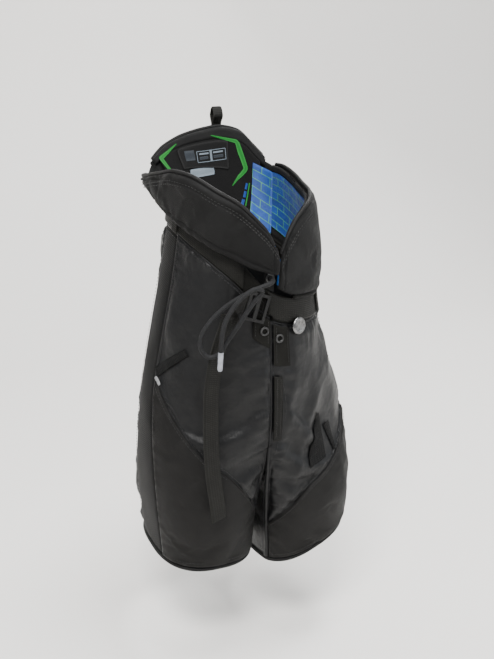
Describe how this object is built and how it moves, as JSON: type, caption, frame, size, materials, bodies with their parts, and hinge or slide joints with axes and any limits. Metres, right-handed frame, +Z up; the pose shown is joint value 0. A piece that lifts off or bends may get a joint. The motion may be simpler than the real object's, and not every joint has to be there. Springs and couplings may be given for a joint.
{
  "type": "hockey pants",
  "caption": "Padded ice-hockey pants hanging by a loop, with flared hip wraps, high back panel, lace and belt closure, a tack button and padded thigh guards.",
  "frame": {"origin": "inside top of the hang loop, where the hook bears", "axes": "+Z up as the pants hang, -Y the wearer's front, +X the wearer's left"},
  "size_m": [0.2449, 0.2485, 0.515],
  "materials": {
    "nylon": "satin nylon",
    "guard": "matte woven",
    "mesh": "matte mesh",
    "wrap": "matte padded",
    "print": "printed satin",
    "lining": "brushed matte",
    "label": "printed satin",
    "piping": "ribbed",
    "webbing": "ribbed webbing",
    "plastic": "moulded",
    "hard_plate": "moulded",
    "foam": "foam laminate",
    "lace": "braided",
    "aglet": "glossy",
    "metal": "brushed"
  },
  "bodies": {
    "root": {"right_front_shell": "nylon", "right_side_panel": "mesh", "right_rear_shell": "nylon", "right_thigh_guard": "guard", "right_thigh_pad": "foam", "right_thigh_plate": "hard_plate", "right_hip_pad": "foam", "right_hip_plate": "hard_plate", "right_gusset": "nylon", "right_hem_binding": "piping", "left_front_shell": "nylon", "left_side_panel": "mesh", "left_rear_shell": "nylon", "left_thigh_guard": "guard", "left_thigh_pad": "foam", "left_thigh_plate": "hard_plate", "left_hip_pad": "foam", "left_hip_plate": "hard_plate", "left_gusset": "nylon", "left_hem_binding": "piping", "tailbone_pad": "foam", "tailbone_plate": "hard_plate", "right_waistband": "webbing", "left_waistband": "webbing", "back_panel": "wrap", "back_panel_piping": "piping", "spine_plate": "hard_plate", "back_lining": "lining", "size_label": "label", "waist_belt": "webbing", "front_left_belt_loop": "webbing", "rear_left_belt_loop": "webbing", "rear_right_belt_loop": "webbing", "front_right_belt_loop": "webbing", "belt_tail_upper": "webbing", "left_fly_facing": "nylon", "right_fly_facing": "nylon", "fly_tongue": "webbing", "lace_tab": "wrap", "upper_eyelet": "metal", "lower_right_eyelet": "metal", "lower_left_eyelet": "metal", "waist_lace": "lace", "lace_aglet": "aglet", "hang_loop": "webbing"},
    "right_wing": {"right_hip_wrap": "wrap", "right_wrap_lining": "print", "right_wrap_piping": "piping"},
    "left_wing": {"left_hip_wrap": "wrap", "left_wrap_lining": "print", "left_wrap_piping": "piping"},
    "buckle": {"buckle_frame": "plastic"},
    "belt_tail": {"belt_tail_lower": "webbing"},
    "front_left_button": {"front_left_brace_button": "metal"}
  },
  "joints": [
    {"name": "right_wrap_open", "type": "hinge", "parent": "root", "child": "right_wing", "pos_m": [-0.08035, -0.02205, -0.0879], "axis": [0, 0, -1], "range_deg": [0, 25], "stiffness_Nm_per_rad": 0.3},
    {"name": "left_wrap_open", "type": "hinge", "parent": "root", "child": "left_wing", "pos_m": [0.04765, -0.03205, -0.1279], "axis": [0, 0, 1], "range_deg": [0, 25], "stiffness_Nm_per_rad": 0.3},
    {"name": "belt_tail_swing", "type": "hinge", "parent": "root", "child": "belt_tail", "pos_m": [-0.08865, -0.22305, -0.2479], "axis": [-1, 0, 0], "range_deg": [0, 50]},
    {"name": "buckle_tilt", "type": "hinge", "parent": "root", "child": "buckle", "pos_m": [-0.04505, -0.20785, -0.1832], "axis": [-0.3001, -0.0097, -0.9539], "range_deg": [0, 25]},
    {"name": "front_left_button_spin", "type": "hinge", "parent": "root", "child": "front_left_button", "pos_m": [0.01738, -0.20683, -0.21334], "axis": [0.3615, -0.9295, 0.0737], "continuous": true}
  ]
}
